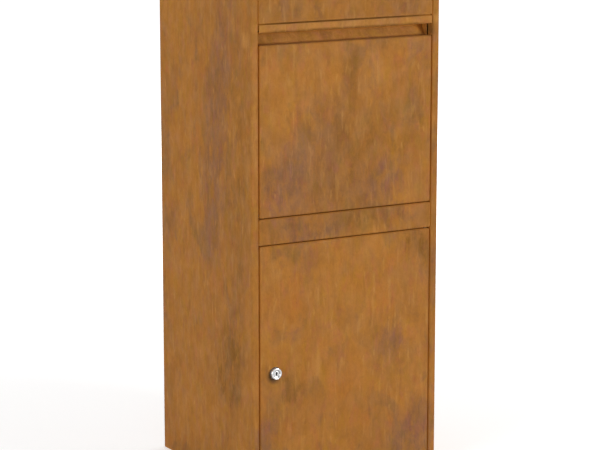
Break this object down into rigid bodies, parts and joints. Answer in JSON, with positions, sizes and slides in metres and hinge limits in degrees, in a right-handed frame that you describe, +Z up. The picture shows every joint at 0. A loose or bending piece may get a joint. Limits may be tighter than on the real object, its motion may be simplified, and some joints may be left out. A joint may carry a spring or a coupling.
{
  "type": "mailbox",
  "caption": "Free-standing rusty steel parcel mailbox: a drop flap with a hopper and a folded grip recess over a hinged door with a cam lock.",
  "frame": {"origin": "middle of the casing's footprint, on the ground under the base", "axes": "+Z up, +X to the right of someone who faces the front, -Y out of the front with the flap and the door"},
  "size_m": [0.4, 0.367, 1],
  "materials": {
    "weathering_steel": "matt orange-brown rust with darker clouds and faint vertical streaks",
    "inner_weathering_steel": "darker, drier rust of the inside sheets",
    "chromed_zinc": "polished chrome, a little dull and dusty",
    "zinc_plated_steel": "dull zinc plating",
    "black_rubber": "matt black rubber"
  },
  "bodies": {
    "casing": {"left_side_panel": "weathering_steel", "right_side_panel": "weathering_steel", "back_panel": "weathering_steel", "top_panel": "weathering_steel", "base_panel": "weathering_steel", "front_sill": "weathering_steel", "cross_rail": "weathering_steel", "front_fascia": "weathering_steel", "flap_stop_angle": "weathering_steel", "flap_buffer_left": "black_rubber", "flap_buffer_right": "black_rubber", "baffle": "inner_weathering_steel", "baffle_bracket_left": "inner_weathering_steel", "baffle_bracket_right": "inner_weathering_steel", "flap_pin_left": "zinc_plated_steel", "flap_pin_right": "zinc_plated_steel", "door_pin_top": "zinc_plated_steel", "door_pin_bottom": "zinc_plated_steel", "door_stop_upper": "zinc_plated_steel", "door_stop_lower": "zinc_plated_steel", "door_buffer_upper": "black_rubber", "door_buffer_lower": "black_rubber"},
    "flap": {"flap_panel": "weathering_steel", "left_cheek": "weathering_steel", "right_cheek": "weathering_steel", "hopper_tray": "inner_weathering_steel"},
    "door": {"door_panel": "weathering_steel", "lock_body": "chromed_zinc", "lock_nut": "zinc_plated_steel"},
    "lock": {"lock_plug": "chromed_zinc", "lock_cam": "zinc_plated_steel", "cam_screw": "zinc_plated_steel"}
  },
  "joints": [
    {"name": "flap_tilt", "type": "hinge", "parent": "casing", "child": "flap", "pos_m": [0, -0.1738, 0.5186], "axis": [1, 0, 0], "range_deg": [0, 45]},
    {"name": "door_swing", "type": "hinge", "parent": "casing", "child": "door", "pos_m": [0.1755, -0.1736, 0.017], "axis": [0, 0, 1], "range_deg": [0, 110]},
    {"name": "lock_turn", "type": "hinge", "parent": "door", "child": "lock", "pos_m": [-0.1525, -0.18, 0.223], "axis": [0, 1, 0], "range_deg": [0, 90]}
  ]
}
